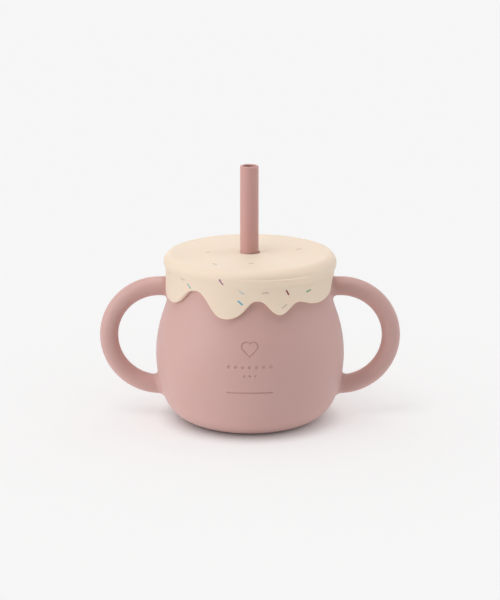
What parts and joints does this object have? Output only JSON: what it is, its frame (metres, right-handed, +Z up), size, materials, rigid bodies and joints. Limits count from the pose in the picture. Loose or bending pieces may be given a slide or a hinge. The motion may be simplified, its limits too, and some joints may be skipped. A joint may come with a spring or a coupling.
{
  "type": "sippy cup",
  "caption": "Soft silicone straw cup for a baby, with ring handles, a lift-off lid shaped like dripping icing, and a straw that slides up and out of the lid.",
  "frame": {"origin": "centre of the base, where the cup's standing ring meets the table", "axes": "+Z up along the cup's axis, the handles along +X and -X, the decorated front towards -Y"},
  "size_m": [0.1356, 0.085, 0.116],
  "materials": {
    "cup_silicone": "matte",
    "lid_silicone": "matte",
    "straw_silicone": "matte",
    "sprinkles_blue": "matte",
    "sprinkles_green": "matte",
    "sprinkles_purple": "matte",
    "sprinkles_red": "matte",
    "sprinkles_rose": "matte",
    "sprinkles_taupe": "matte",
    "sprinkles_teal": "matte"
  },
  "bodies": {
    "cup": {"cup_body": "cup_silicone"},
    "lid": {"lid": "lid_silicone", "sprinkles_blue": "sprinkles_blue", "sprinkles_green": "sprinkles_green", "sprinkles_purple": "sprinkles_purple", "sprinkles_red": "sprinkles_red", "sprinkles_rose": "sprinkles_rose", "sprinkles_taupe": "sprinkles_taupe", "sprinkles_teal": "sprinkles_teal"},
    "straw": {"straw": "straw_silicone"}
  },
  "joints": [
    {"name": "lid_lift", "type": "slide", "parent": "cup", "child": "lid", "axis": [0, 0, 1], "range_m": [0, 0.078]},
    {"name": "straw_slide", "type": "slide", "parent": "lid", "child": "straw", "axis": [0, 0, 1], "range_m": [0, 0.08]}
  ]
}
